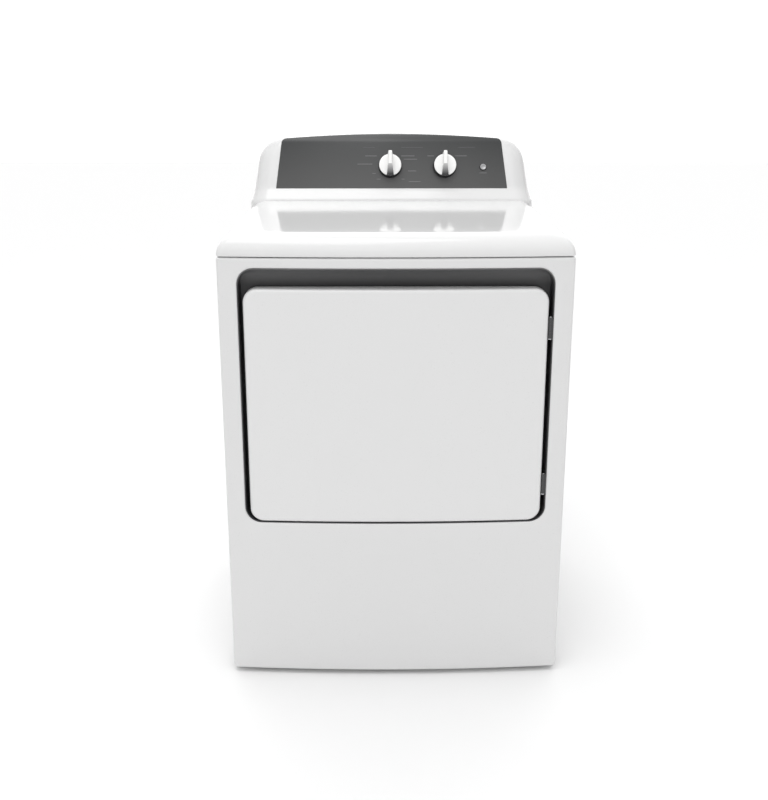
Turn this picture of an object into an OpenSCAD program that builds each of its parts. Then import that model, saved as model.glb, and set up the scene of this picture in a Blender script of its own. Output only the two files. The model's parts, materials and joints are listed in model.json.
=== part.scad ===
// Front-loading clothes dryer with a recessed side-hinged door and a rear control console.
// The origin is on the floor under the middle of the machine, +Z is up and the front faces -Y.

/* [Cabinet] */
// Width over the side panels
cabinet_w = 686; // [682:1:692]
// Depth from the front corners to the rear panel
cabinet_d = 675; // [672:1:690]
// Height of the worktop above the floor
worktop_z = 933; // [931:1:935]
// Height of the seam under the worktop
seam_z = 890; // [888:1:892]
// Gap between the floor and the cabinet
toe_gap = 10; // [9:1:12]
// How far the front bows forward at its middle
bow = 15; // [12:1:18]
// Thickness of the sheet steel
sheet = 1.2; // [1:0.1:1.4]

/* [Door] */
// Width of the recess that the door sits in
well_w = 610; // [606:1:614]
// Height of the recess
well_h = 522; // [518:1:526]
// Height of the recess floor edge above the floor
well_bottom = 347; // [345:1:350]
// Depth of the recess behind the front corners
well_depth = 34; // [33:1:36]
// Width of the door
door_w = 590; // [588:1:591]
// Height of the door
door_h = 479; // [474:1:480]
// Corner radius of the door
door_r = 27; // [22:1:30]
// Radius of the round load opening
load_r = 215; // [205:1:218]

/* [Drum] */
// Outer radius of the drum
drum_r = 322; // [316:1:323]
// Height of the drum axis above the floor
drum_z = 556; // [554:1:558]
// Number of baffles in the drum
baffle_count = 3; // [2:1:3]
// Height of a baffle
baffle_h = 62; // [40:1:70]

/* [Drive] */
// Radius of the motor pulley
motor_pulley_r = 11; // [10:0.5:12]
// Radius of the idler pulley
idler_r = 25; // [22:1:26]
// Thickness of the drum belt
belt_t = 2; // [1.5:0.1:2.2]
// Width of the drum belt
belt_w = 9.5; // [8:0.5:11]

/* [Exhaust] */
// Outer radius of the exhaust outlet
exhaust_r = 50.8; // [50:0.1:51]
// Length of the outlet behind the rear panel
exhaust_stub = 25; // [22:1:28]

/* [Console] */
// Angle that the control fascia leans back
lean = 21; // [20:0.5:22]
// Rise of the console over the worktop at its middle
console_h = 154; // [152:1:156]
// Radius of the control knobs
knob_r = 27.5; // [25:0.5:28]
// Travel of the start button
button_travel = 3; // [2:0.5:3]

/* [Hidden] */
$fn = 64;
bow_fn = 1440;
hw = cabinet_w / 2;
bow_r = (hw * hw + bow * bow) / (2 * bow);
front_y = -(bow + cabinet_d + exhaust_stub) / 2 + bow;
rear_y = front_y + cabinet_d;
bow_axis_y = front_y - bow + bow_r;

// Depth position of the bowed front at x.
function bow_face_y(x) = bow_axis_y - sqrt(bow_r * bow_r - x * x);

// Recess, door and load opening
well_r = 32;
well_z = well_bottom + well_h / 2;
well_floor_y = front_y + well_depth;
door_bottom = well_bottom + 2.5;
door_z = door_bottom + door_h / 2;
door_back_y = well_floor_y - 5.5;
door_skin = 1.6;
door_edge_r = 5;
load_z = 578;
sill_z = 390;
bulkhead_y = front_y + 66;

// Door catch and door switch, on the left side of the recess
catch_x = 250;
switch_x = 262;
switch_z = 800;

// Door hinges, on the right side of the recess
well_wall = 1.5;
well_side_x = well_w / 2 - 0.2 - well_wall;
hinge_x = (door_w / 2 + well_side_x) / 2;
hinge_y = bow_face_y(hinge_x) + 3.9;
hinge_zs = [407, 730];
hinge_span = 42;
knuckle_r = 3.8;
hinge_pin_r = 2.2;

// Drum, from its front lip to its back plate
drum_wall = 1.2;
drum_front_y = bulkhead_y + 8;
drum_back_y = rear_y - 52;
collar_r = 264;
lip_r = 268;
shaft_r = 8;
rear_bulkhead_y = rear_y - 40;
heater_r = 200;

// Motor, blower and belt; the motor's axis runs from front to back
motor_x = -70;
motor_z = 108;
motor_r = 60;
motor_y0 = front_y + 165;
motor_y1 = front_y + 305;
motor_shaft_r = 6.3;
belt_y = front_y + 330;
idler_x = -15;
idler_z = 120;
arm_pivot_x = 5;
arm_pivot_z = 45;
blower_y0 = bulkhead_y + 4;
blower_y1 = blower_y0 + 66;
blower_r = 86;
duct_x = 100;
duct_z = 72;

// Hole for the mains lead, in the rear panel
inlet_x = 250;
inlet_z = 150;
inlet_r = 14.3;

// Worktop edge and console
edge_r = worktop_z - seam_z;
console_front_y = front_y + 570;
fascia_y = console_front_y + 20;
fascia_z = worktop_z + 28;
console_top = worktop_z + console_h;
cap_x = 281.5;
shoulder_r = 64;
shoulder_x = 261;
top_fall = 10;
console_t = 2.5;
fascia_t = 2.5;
knob_xs = [-3.5, 128.5];
knob_v = 52.5;
knob_face = 16;
grip_h = 32;
button_x = 221;
button_v = 52;
button_r = 7.4;
stem_r = 4;

// Levelling legs
leg_x = 300;
leg_ys = [front_y + 48, rear_y - 48];
stud_r = 5;

// ---- Helpers ----

// Stands a flat shape up in the XZ plane and gives it depth from y0 to y1.
module stand(y0, y1) {
    translate([0, y1, 0]) rotate([90, 0, 0]) linear_extrude(y1 - y0) children();
}

// Round bar along Y.
module bar_y(x, z, y0, y1, r) {
    translate([x, y0, z]) rotate([-90, 0, 0]) cylinder(r = r, h = y1 - y0);
}

// Tube along Y.
module tube_y(x, z, y0, y1, r_out, r_in) {
    difference() {
        bar_y(x, z, y0, y1, r_out);
        bar_y(x, z, y0 - 1, y1 + 1, r_in);
    }
}

// Box from its lowest to its highest corner.
module box(low, high) {
    translate(low) cube(high - low);
}

// Rectangle with round corners, centred.
module round_rect(w, h, r) {
    square([w - 2 * r, h], center = true);
    square([w, h - 2 * r], center = true);
    for (sx = [-1, 1], sy = [-1, 1]) {
        translate([sx * (w / 2 - r), sy * (h / 2 - r)]) circle(r);
    }
}

// Everything behind the bowed front surface, moved back by inset.
module behind_bow(inset, z0, z1) {
    translate([0, bow_axis_y, z0]) cylinder(r = bow_r - inset, h = z1 - z0, $fn = bow_fn);
}

// Round opening with a flat sill, grown by grow.
module load_shape(grow) {
    intersection() {
        translate([0, load_z]) circle(load_r + grow, $fn = 96);
        translate([-hw, sill_z - grow]) square([2 * hw, 2 * load_r + 40]);
    }
}

// Places its children on the leaning fascia: x across, y up the face, z out of it.
module on_fascia(x, v) {
    translate([0, fascia_y, fascia_z]) rotate([90 - lean, 0, 0]) translate([x, v, 0]) children();
}

function arc_points(c, r, a0, a1, n) =
    [for (i = [0:n]) c + r * [cos(a0 + (a1 - a0) * i / n), sin(a0 + (a1 - a0) * i / n)]];

function mirrored(points) = [for (i = [len(points) - 1:-1:0]) [-points[i][0], points[i][1]]];

// ---- Cabinet ----

module side_panel(side) {
    x0 = side > 0 ? hw - sheet : -hw;
    color("white") {
        box([x0, front_y + 25.5, toe_gap], [x0 + sheet, rear_y - sheet - 0.2, seam_z]);
        box([side * (hw - 9) - 8, front_y + 25.5, seam_z - sheet],
            [side * (hw - 9) + 8, rear_y - 2, seam_z]);
    }
}

module side_panel_left() {
    side_panel(-1);
}

module side_panel_right() {
    side_panel(1);
}

module front_panel() {
    color("white") difference() {
        union() {
            difference() {
                intersection() {
                    behind_bow(0, toe_gap, seam_z);
                    box([-hw, front_y - bow - 2, toe_gap], [hw, front_y + 4, seam_z]);
                }
                behind_bow(sheet, toe_gap - 1, seam_z + 1);
            }
            for (side = [-1, 1]) {
                box([side * (hw - sheet / 2) - sheet / 2, front_y + sheet / 2, toe_gap],
                    [side * (hw - sheet / 2) + sheet / 2, front_y + 25, seam_z]);
            }
        }
        stand(front_y - 30, front_y + 20) {
            translate([0, well_z]) round_rect(well_w, well_h, well_r);
        }
    }
}

module rear_panel() {
    color("gainsboro") difference() {
        box([-hw, rear_y - sheet, toe_gap], [hw, rear_y, seam_z]);
        stand(rear_y - 5, rear_y + 5) translate([0, drum_z]) round_rect(470, 470, 30);
        bar_y(duct_x, duct_z, rear_y - 5, rear_y + 5, exhaust_r + 1.4);
        bar_y(inlet_x, inlet_z, rear_y - 5, rear_y + 5, inlet_r);
        rear_screw_holes(2);
        for (i = [0:5]) {
            stand(rear_y - 5, rear_y + 5) {
                translate([-180, 215 + 14 * i]) round_rect(150, 5, 2.4);
            }
        }
    }
}

module rear_access_cover() {
    color("silver") difference() {
        stand(rear_y, rear_y + sheet) translate([0, drum_z]) round_rect(500, 500, 36);
        rear_screw_holes(2);
        for (i = [-6:6]) {
            stand(rear_y - 5, rear_y + 5) {
                translate([0, drum_z + 26 * i]) round_rect(220, 6, 2.9);
            }
        }
    }
}

// Screws round the rear access cover.
function rear_screw_places() =
    [for (x = [-241, 0, 241], z = [-241, 0, 241]) if (x != 0 || z != 0) [x, drum_z + z]];

module rear_screw_holes(r) {
    for (p = rear_screw_places()) {
        bar_y(p[0], p[1], rear_y - 5, rear_y + 5, r);
    }
}

module rear_screws() {
    color("silver") for (p = rear_screw_places()) {
        bar_y(p[0], p[1], rear_y + sheet, rear_y + sheet + 2.2, 4.6);
        bar_y(p[0], p[1], rear_y - 9, rear_y + sheet + 0.5, 1.9);
    }
}

module base_pan() {
    z0 = toe_gap + 4;
    color("silver") difference() {
        union() {
            box([-hw + 2, front_y + 4, z0], [hw - 2, rear_y - 2, z0 + sheet]);
            for (side = [-1, 1]) {
                box([side * (hw - 2.6) - 0.6, front_y + 26, z0],
                    [side * (hw - 2.6) + 0.6, rear_y - 2, z0 + 26]);
            }
        }
        for (x = [-leg_x, leg_x], y = leg_ys) {
            translate([x, y, 0]) cylinder(r = stud_r + 0.2, h = 40);
        }
    }
}

// Rubber foot with a steel stud that screws into the base.
module leg(x, y) {
    translate([x, y, 0]) {
        color("dimgray") cylinder(r = 19, h = 8);
        color("silver") {
            cylinder(r = 9, h = 12, $fn = 6);
            cylinder(r = stud_r, h = 42);
        }
    }
}

module leg_front_left() {
    leg(-leg_x, leg_ys[0]);
}

module leg_front_right() {
    leg(leg_x, leg_ys[0]);
}

module leg_rear_left() {
    leg(-leg_x, leg_ys[1]);
}

module leg_rear_right() {
    leg(leg_x, leg_ys[1]);
}

module leg_nuts() {
    color("silver") for (x = [-leg_x, leg_x], y = leg_ys) {
        translate([x, y, toe_gap + 4 + sheet]) difference() {
            cylinder(r = 10, h = 8, $fn = 6);
            translate([0, 0, -1]) cylinder(r = stud_r + 0.05, h = 10);
        }
    }
}

// Flat profile with a quarter-round at its right end, going down below the round's centre.
module round_edge(r, span, down) {
    intersection() {
        union() {
            circle(r, $fn = 64);
            translate([-span, -down]) square([span, r + down]);
            if (down > 0) {
                translate([-1, -down]) square([r + 1, down]);
            }
        }
        translate([-span, -down]) square([span + r, r + down]);
    }
}

// Block of the worktop with quarter-round front and sides, shrunk by inset.
module worktop_block(inset) {
    r = edge_r - inset;
    side_x = hw - edge_r;
    intersection() {
        stand(front_y - bow - 5, rear_y) translate([0, seam_z]) {
            translate([side_x, 0]) round_edge(r, 2 * side_x, 3 * inset);
            mirror([1, 0]) translate([side_x, 0]) round_edge(r, 2 * side_x, 3 * inset);
        }
        translate([0, bow_axis_y, seam_z]) rotate([0, 0, -100]) {
            rotate_extrude(angle = 20, $fn = bow_fn) {
                translate([bow_r - edge_r, 0]) round_edge(r, cabinet_d + 60, 3 * inset);
            }
        }
    }
}

module worktop() {
    color("white") difference() {
        worktop_block(0);
        intersection() {
            worktop_block(2);
            box([-hw, front_y - 30, 0], [hw, rear_y - 2, worktop_z]);
        }
    }
}

// ---- Recess, bulkheads ----

module door_recess() {
    color("dimgray") difference() {
        intersection() {
            behind_bow(sheet + 0.2, well_bottom - 5, well_bottom + well_h + 5);
            stand(front_y - 20, well_floor_y + sheet) {
                translate([0, well_z]) round_rect(well_w - 0.4, well_h - 0.4, well_r - 0.2);
            }
        }
        stand(front_y - 25, well_floor_y) {
            translate([0, well_z]) {
                round_rect(2 * well_side_x, well_h - 0.4 - 2 * well_wall, well_r - 0.2 - well_wall);
            }
        }
        stand(well_floor_y - 1, well_floor_y + 5) load_shape(0);
        bar_y(-switch_x, switch_z, well_floor_y - 5, well_floor_y + 10, 2.2);
        box([-catch_x - 4.5, well_floor_y - 2, door_z - 13], [-catch_x + 4.5, well_floor_y + 5, door_z + 13]);
    }
}

module front_bulkhead() {
    color("gainsboro") difference() {
        union() {
            box([-hw + 4, bulkhead_y, 30], [hw - 4, bulkhead_y + sheet, seam_z - 6]);
            tube_y(0, drum_z, bulkhead_y + 0.5, bulkhead_y + 32, collar_r, collar_r - 3);
            stand(well_floor_y + sheet, bulkhead_y + 0.5) load_shape(4);
        }
        stand(well_floor_y - 1, bulkhead_y + 5) load_shape(0.5);
        for (i = [-5:5]) {
            box([i * 15 - 4, bulkhead_y - 3, 305], [i * 15 + 4, bulkhead_y + 5, 372]);
        }
        bar_y(motor_x, motor_z, bulkhead_y - 3, bulkhead_y + 5, 45);
        box([-100, well_floor_y, 40], [100, bulkhead_y, sill_z]);
    }
}

module rear_bulkhead() {
    color("gainsboro") difference() {
        box([-hw + 4, rear_bulkhead_y, 30], [hw - 4, rear_bulkhead_y + sheet, seam_z - 6]);
        bar_y(0, drum_z, rear_bulkhead_y - 3, rear_bulkhead_y + 5, heater_r);
        bar_y(duct_x, duct_z, rear_bulkhead_y - 3, rear_bulkhead_y + 5, exhaust_r + 2.5);
    }
}

module lint_duct() {
    y0 = well_floor_y + sheet + 0.3;
    y1 = bulkhead_y - 0.3;
    color("whitesmoke") difference() {
        box([-99, y0, 60], [99, y1, sill_z - 1]);
        box([-96, y0 + 2.5, 63], [96, y1 - 2.5, sill_z - 4]);
        box([-87, y0 + 9, sill_z - 8], [87, y0 + 21, sill_z + 2]);
        for (i = [-5:5]) {
            box([i * 15 - 4, y1 - 5, 305], [i * 15 + 4, y1 + 5, 372]);
        }
        bar_y(motor_x + 16, motor_z, y1 - 5, y1 + 5, 41);
    }
}

module lint_screen() {
    y0 = well_floor_y + sheet + 11.5;
    y1 = y0 + 7;
    color("lightsteelblue") {
        difference() {
            box([-84, y0, 150], [84, y1, sill_z + 1]);
            for (row = [0:1], col = [-1:1]) {
                box([col * 52 - 23, y0 - 1, 162 + row * 106], [col * 52 + 23, y1 + 1, 258 + row * 106]);
            }
        }
        box([-80, y0 + 3, 155], [80, y0 + 3.8, 380]);
        box([-60, y0 - 1.5, sill_z + 1], [60, y1 + 1.5, sill_z + 14]);
    }
}

// ---- Door ----

// Bowed door slab with round side edges, shrunk at its edges and behind its front by inset.
module door_slab(inset, y1) {
    side_x = door_w / 2 - door_edge_r;
    edge_y = bow_face_y(side_x) + door_edge_r;
    r = door_edge_r - inset;
    intersection() {
        behind_bow(inset, door_bottom - 5, door_bottom + door_h + 5);
        stand(front_y - 20, y1) {
            translate([0, door_z]) round_rect(door_w - 2 * inset, door_h - 2 * inset, door_r - inset);
        }
        translate([0, 0, door_bottom - 5]) linear_extrude(door_h + 10) {
            translate([-side_x, front_y - 30]) square([2 * side_x, 80]);
            translate([-side_x - r, edge_y]) square([2 * side_x + 2 * r, 60]);
            for (side = [-1, 1]) {
                translate([side * side_x, edge_y]) circle(r);
            }
        }
    }
}

module door_outer_panel() {
    color("white") difference() {
        door_slab(0, door_back_y - 3);
        door_slab(door_skin, door_back_y + 5);
    }
}

module door_inner_panel() {
    color("whitesmoke") difference() {
        union() {
            stand(door_back_y - 2.5, door_back_y) {
                translate([0, door_z]) round_rect(door_w - 4, door_h - 4, door_r - 2);
            }
            tube_y(0, load_z, door_back_y - 14, door_back_y - 2, load_r - 30, load_r - 34);
        }
        bar_y(0, load_z, door_back_y - 10, door_back_y + 5, load_r - 34);
    }
    color("whitesmoke") bar_y(0, load_z, door_back_y - 14, door_back_y - 11.5, load_r - 30);
}

module door_seal() {
    color("gray") tube_y(0, load_z, door_back_y, well_floor_y - 0.4, load_r + 14, load_r + 4);
}

// Knuckles of one hinge: the outer two belong to the frame leaf, the middle one to the door leaf.
module knuckle(z0, z1) {
    translate([hinge_x, hinge_y, z0]) difference() {
        cylinder(r = knuckle_r, h = z1 - z0);
        translate([0, 0, -1]) cylinder(r = hinge_pin_r + 0.05, h = z1 - z0 + 2);
    }
}

module hinge_frame_leaves() {
    wall_x = well_side_x;
    color("silver") for (z = hinge_zs) {
        knuckle(z, z + 12);
        knuckle(z + hinge_span - 12, z + hinge_span);
        difference() {
            box([wall_x - 1.5, hinge_y - 3, z], [wall_x, well_floor_y - 1, z + hinge_span]);
            translate([hinge_x, hinge_y, z - 1]) cylinder(r = knuckle_r + 0.25, h = hinge_span + 2);
        }
        for (z0 = [z, z + hinge_span - 12]) {
            difference() {
                box([hinge_x, hinge_y - 1.5, z0], [wall_x, hinge_y + 1.5, z0 + 12]);
                translate([hinge_x, hinge_y, z0 - 1]) cylinder(r = knuckle_r - 0.5, h = 14);
            }
        }
    }
}

module hinge_door_leaves() {
    side_x = door_w / 2 + 0.1;
    color("silver") for (z = hinge_zs) {
        knuckle(z + 12.5, z + hinge_span - 12.5);
        difference() {
            box([side_x, hinge_y + 0.5, z + 12.5], [side_x + 1.4, door_back_y - 3, z + hinge_span - 12.5]);
            translate([hinge_x, hinge_y, z]) cylinder(r = knuckle_r - 0.5, h = hinge_span);
        }
    }
}

module hinge_pins() {
    color("silver") for (z = hinge_zs) {
        translate([hinge_x, hinge_y, z - 1.5]) {
            cylinder(r = hinge_pin_r, h = hinge_span + 3);
            cylinder(r = hinge_pin_r + 1.6, h = 1.4);
        }
    }
}

module door_strike() {
    color("silver") translate([-catch_x, 0, door_z]) {
        box([-7, door_back_y, -12], [7, door_back_y + 1.5, 12]);
        box([-1.2, door_back_y + 1, -8], [1.2, door_back_y + 16, 8]);
    }
}

module door_catch() {
    color("dimgray") translate([-catch_x, 0, door_z]) difference() {
        box([-11, well_floor_y - 2, -18], [11, well_floor_y - 0.2, 18]);
        box([-3.6, door_back_y, -10], [3.6, well_floor_y + 5, 10]);
    }
}

module door_switch() {
    color("dimgray") difference() {
        translate([-switch_x, 0, switch_z]) {
            box([-8, well_floor_y + sheet + 0.2, -14], [8, well_floor_y + sheet + 22, 14]);
        }
        bar_y(-switch_x, switch_z, well_floor_y - 1, well_floor_y + sheet + 14, 2.05);
    }
}

module door_switch_plunger() {
    color("white") bar_y(-switch_x, switch_z, door_back_y + 0.8, well_floor_y + sheet + 8, 2);
}

// ---- Drum ----

module drum_shell() {
    color("silver") translate([0, 0, drum_z]) rotate([-90, 0, 0]) rotate_extrude($fn = 180) {
        polygon([
            [lip_r, drum_front_y], [drum_r, drum_front_y], [drum_r, drum_back_y],
            [drum_r - drum_wall, drum_back_y], [drum_r - drum_wall, drum_front_y + drum_wall],
            [lip_r + drum_wall, drum_front_y + drum_wall], [lip_r + drum_wall, drum_front_y + 20],
            [lip_r, drum_front_y + 20]
        ]);
    }
}

module drum_baffles() {
    y0 = drum_front_y + 40;
    y1 = drum_back_y - 12;
    foot = 34;
    r0 = sqrt(pow(drum_r - drum_wall - 0.2, 2) - foot * foot);
    color("whitesmoke") translate([0, 0, drum_z]) for (i = [0:baffle_count - 1]) {
        rotate([0, 90 + 360 * i / baffle_count, 0]) difference() {
            stand(y0, y1) polygon([
                [-foot, r0], [-20, r0 - baffle_h + 8], [-12, r0 - baffle_h],
                [12, r0 - baffle_h], [20, r0 - baffle_h + 8], [foot, r0]
            ]);
            stand(y0 + 3, y1 - 3) polygon([
                [-30, r0 + 1], [-16, r0 - baffle_h + 9], [16, r0 - baffle_h + 9], [30, r0 + 1]
            ]);
        }
    }
}

module drum_back() {
    hole_rings = [[105, 18], [130, 24], [155, 30], [180, 36]];
    color("silver") difference() {
        bar_y(0, drum_z, drum_back_y - 3, drum_back_y - 3 + drum_wall, drum_r - drum_wall);
        bar_y(0, drum_z, drum_back_y - 5, drum_back_y + 5, shaft_r + 2);
        for (ring = hole_rings, i = [0:ring[1] - 1]) {
            a = 360 * i / ring[1];
            bar_y(ring[0] * cos(a), drum_z + ring[0] * sin(a), drum_back_y - 5, drum_back_y + 5, 5);
        }
    }
}

module drum_shaft() {
    color("gray") {
        bar_y(0, drum_z, drum_back_y - 3 + drum_wall, drum_back_y + 3, 45);
        bar_y(0, drum_z, drum_back_y, rear_bulkhead_y + 20, shaft_r);
    }
}

module rear_bearing() {
    y0 = rear_bulkhead_y;
    color("dimgray") difference() {
        union() {
            box([-heater_r - 14, y0 - 2.5, drum_z - 24], [heater_r + 14, y0, drum_z + 24]);
            bar_y(0, drum_z, y0 - 2.5, y0 + 16, shaft_r + 7);
        }
        bar_y(0, drum_z, y0 - 5, y0 + 20, shaft_r + 0.05);
    }
}

module bearing_slides() {
    color("white") translate([0, 0, drum_z]) for (a = [-38, 22]) {
        rotate([-90, 0, 0]) translate([0, 0, bulkhead_y + 18]) {
            rotate([0, 0, a - 90]) rotate_extrude(angle = 16, $fn = 180) {
                translate([collar_r + 0.1, 0]) square([lip_r - collar_r - 0.4, 9]);
            }
        }
    }
}

module front_felt() {
    color("beige") tube_y(0, drum_z, bulkhead_y + 9, bulkhead_y + 16, lip_r - 0.4, collar_r + 0.1);
}

module rear_felt() {
    color("beige") tube_y(0, drum_z, drum_back_y + 0.4, rear_bulkhead_y, drum_r - 4, drum_r - 24);
}

// ---- Heater ----

module heater_housing() {
    y1 = rear_y - 3;
    color("silver") difference() {
        bar_y(0, drum_z, rear_bulkhead_y + sheet, y1, heater_r + 16);
        bar_y(0, drum_z, rear_bulkhead_y, y1 - sheet, heater_r + 14.8);
        for (i = [0:11]) {
            rotate_about_drum(30 * i) {
                stand(y1 - 5, y1 + 5) translate([0, 92]) round_rect(10, 70, 4.9);
            }
        }
    }
}

module rotate_about_drum(a) {
    translate([0, 0, drum_z]) rotate([0, a, 0]) children();
}

module heater_coil() {
    y = rear_y - 17;
    color("darkslategray") for (r = [125, 165]) {
        translate([0, y, drum_z]) rotate([-90, 0, 0]) rotate_extrude($fn = 96) {
            translate([r, 0]) circle(6, $fn = 24);
        }
    }
    color("white") for (i = [0:5]) {
        rotate_about_drum(60 * i) {
            box([-5, y - 9, 108], [5, y - 6.6, 182]);
            box([-5, y + 6.6, 108], [5, y + 9, 182]);
            for (z = [108, 142, 174]) {
                box([-5, y - 8, z], [5, y + 8, z + 8]);
            }
        }
    }
}

// ---- Drive ----

// Belt wheels in the order that the belt meets them: centre, radius and turning sense.
belt_gap = 0.4;
belt_wheels = [
    [[0, drum_z], drum_r + belt_gap, 1],
    [[motor_x, motor_z], motor_pulley_r + belt_gap, 1],
    [[idler_x, idler_z], idler_r + belt_gap, -1]
];

// Direction of the free belt from wheel a to wheel b, for a belt centre line at radius + d.
function run_angle(a, b, d) =
    let (v = b[0] - a[0])
    atan2(v[1], v[0]) + asin((a[2] * belt_radius(a, d) - b[2] * belt_radius(b, d)) / norm(v));

function belt_radius(w, d) = w[1] + (w[2] > 0 ? d : belt_t - d);

// Points round one wheel between the incoming and the outgoing run.
function wheel_points(i, d, steps) =
    let (w = belt_wheels[i], before = belt_wheels[(i + 2) % 3], after = belt_wheels[(i + 1) % 3])
    let (a_in = run_angle(before, w, d) - 90 * w[2])
    let (turn = (((run_angle(w, after, d) - 90 * w[2] - a_in) * w[2]) % 360 + 360) % 360)
    arc_points(w[0], belt_radius(w, d), a_in, a_in + w[2] * turn, steps);

function belt_loop(d) = concat(wheel_points(0, d, 140), wheel_points(1, d, 20), wheel_points(2, d, 12));

module drive_belt() {
    color("black") stand(belt_y - belt_w / 2, belt_y + belt_w / 2) difference() {
        polygon(belt_loop(belt_t));
        polygon(belt_loop(0));
    }
}

module motor() {
    color("dimgray") difference() {
        union() {
            bar_y(motor_x, motor_z, motor_y0 + 8, motor_y1 - 8, motor_r);
            bar_y(motor_x, motor_z, motor_y0, motor_y1, motor_r - 14);
        }
        bar_y(motor_x, motor_z, motor_y0 - 1, motor_y1 + 1, motor_shaft_r + 0.08);
    }
}

module motor_shaft() {
    color("silver") {
        bar_y(motor_x, motor_z, blower_y0 + 22, belt_y + 14, motor_shaft_r);
        difference() {
            bar_y(motor_x, motor_z, belt_y - 9, belt_y + 9, motor_pulley_r + 3);
            tube_y(motor_x, motor_z, belt_y - belt_w / 2 - 0.8, belt_y + belt_w / 2 + 0.8,
                motor_pulley_r + 4, motor_pulley_r);
        }
    }
}

module motor_mount() {
    z0 = toe_gap + 4 + sheet;
    color("gray") {
        box([motor_x - 75, motor_y0 - 4, z0], [motor_x + 70, motor_y1 + 4, z0 + 2.5]);
        for (y = [motor_y0 + 16, motor_y1 - 28]) {
            difference() {
                box([motor_x - 55, y, z0], [motor_x + 55, y + 12, motor_z - 25]);
                bar_y(motor_x, motor_z, y - 1, y + 13, motor_r + 0.1);
            }
        }
    }
    color("gray") difference() {
        union() {
            box([motor_x + 55, belt_y + 14, z0], [arm_pivot_x + 24, belt_y + 17, arm_pivot_z + 22]);
            box([motor_x + 40, motor_y1 - 10, z0], [arm_pivot_x + 24, belt_y + 17, z0 + 2.5]);
        }
        bar_y(arm_pivot_x, arm_pivot_z, belt_y, belt_y + 20, 5.05);
    }
}

module idler_arm() {
    y0 = belt_y + 8;
    y1 = belt_y + 11;
    reach = [idler_x - arm_pivot_x, idler_z - arm_pivot_z];
    slope = atan2(reach[1], reach[0]);
    color("gray") {
        stand(y0, y1) translate([arm_pivot_x, arm_pivot_z]) rotate(slope) {
            circle(12);
            translate([0, -8]) square([norm(reach), 16]);
            translate([norm(reach), 0]) circle(10);
        }
        bar_y(arm_pivot_x, arm_pivot_z, y1 - 1, belt_y + 22, 5);
        bar_y(idler_x, idler_z, belt_y - 9, y0 + 1, 4);
    }
}

module idler_pulley() {
    color("ivory") difference() {
        bar_y(idler_x, idler_z, belt_y - 7.5, belt_y + 7.5, idler_r + 2.5);
        tube_y(idler_x, idler_z, belt_y - belt_w / 2 - 0.8, belt_y + belt_w / 2 + 0.8,
            idler_r + 4, idler_r);
        bar_y(idler_x, idler_z, belt_y - 10, belt_y + 10, 4.05);
    }
}

module idler_spring() {
    color("silver") for (i = [0:2]) {
        translate([arm_pivot_x, belt_y + 17.9 + 1.7 * i, arm_pivot_z]) rotate([-90, 0, 0]) {
            rotate_extrude($fn = 48) translate([7.2, 0]) circle(0.8, $fn = 16);
        }
    }
}

// ---- Air path ----

// Outline of the scroll: a round chamber and a straight outlet to the exhaust pipe.
module scroll_shape(inset) {
    translate([motor_x, motor_z]) circle(blower_r - inset, $fn = 96);
    translate([motor_x, motor_z - blower_r + inset]) {
        square([duct_x + 56 - motor_x - inset, 104 - 2 * inset]);
    }
}

module blower_housing() {
    color("whitesmoke") difference() {
        stand(blower_y0, blower_y1) scroll_shape(0);
        stand(blower_y0 + 2.5, blower_y1 - 2.5) scroll_shape(2.5);
        bar_y(motor_x, motor_z, blower_y0 - 1, blower_y0 + 5, 45);
        bar_y(motor_x, motor_z, blower_y1 - 5, blower_y1 + 1, motor_shaft_r + 3);
        bar_y(duct_x, duct_z, blower_y1 - 5, blower_y1 + 1, exhaust_r - 1);
    }
}

module blower_wheel() {
    r = blower_r - 14;
    y0 = blower_y0 + 8;
    y1 = blower_y1 - 8;
    color("lightgray") {
        difference() {
            bar_y(motor_x, motor_z, y1 - 3, y1, r);
            bar_y(motor_x, motor_z, y1 - 5, y1 + 5, motor_shaft_r);
        }
        tube_y(motor_x, motor_z, y1 - 26, y1 - 2.5, 13, motor_shaft_r);
        tube_y(motor_x, motor_z, y0, y0 + 2.5, r, 46);
        for (i = [0:23]) {
            translate([motor_x, 0, motor_z]) rotate([0, 15 * i, 0]) {
                box([-1, y0 + 2, r - 20], [1, y1 - 2, r - 2]);
            }
        }
    }
}

module exhaust_duct() {
    color("silver") difference() {
        union() {
            bar_y(duct_x, duct_z, blower_y1, rear_y + 1, exhaust_r + 1);
            bar_y(duct_x, duct_z, rear_y, rear_y + exhaust_stub, exhaust_r);
        }
        bar_y(duct_x, duct_z, blower_y1 - 1, rear_y + exhaust_stub + 1, exhaust_r - 0.8);
    }
}

module terminal_block() {
    color("black") difference() {
        box([inlet_x - 32, rear_y - 34, 205], [inlet_x + 32, rear_y - 8, 245]);
        for (i = [-1:1]) {
            box([inlet_x + 20 * i - 8, rear_y - 16, 210], [inlet_x + 20 * i + 8, rear_y, 240]);
        }
    }
    color("gold") for (i = [-1:1]) {
        bar_y(inlet_x + 20 * i, 225, rear_y - 17, rear_y - 10, 5);
    }
    color("black") box([inlet_x - 20, rear_y - 8.2, 206.5], [inlet_x + 20, rear_y - sheet, 209]);
}

// ---- Console ----

// Side view of the console in Y and Z, shrunk by t.
function console_profile(t) = [
    [console_front_y + 1.3 * t, seam_z],
    [console_front_y + 1.3 * t, worktop_z],
    [fascia_y + 1.1 * t, fascia_z],
    [fascia_y + (console_h - 29) * tan(lean) + 0.8 * t, console_top - 1 - t],
    [fascia_y + (console_h - 29) * tan(lean) + 5, console_top - t],
    [rear_y - 5, console_top - 6 - t],
    [rear_y, console_top - 14 - t],
    [rear_y, seam_z]
];

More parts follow.
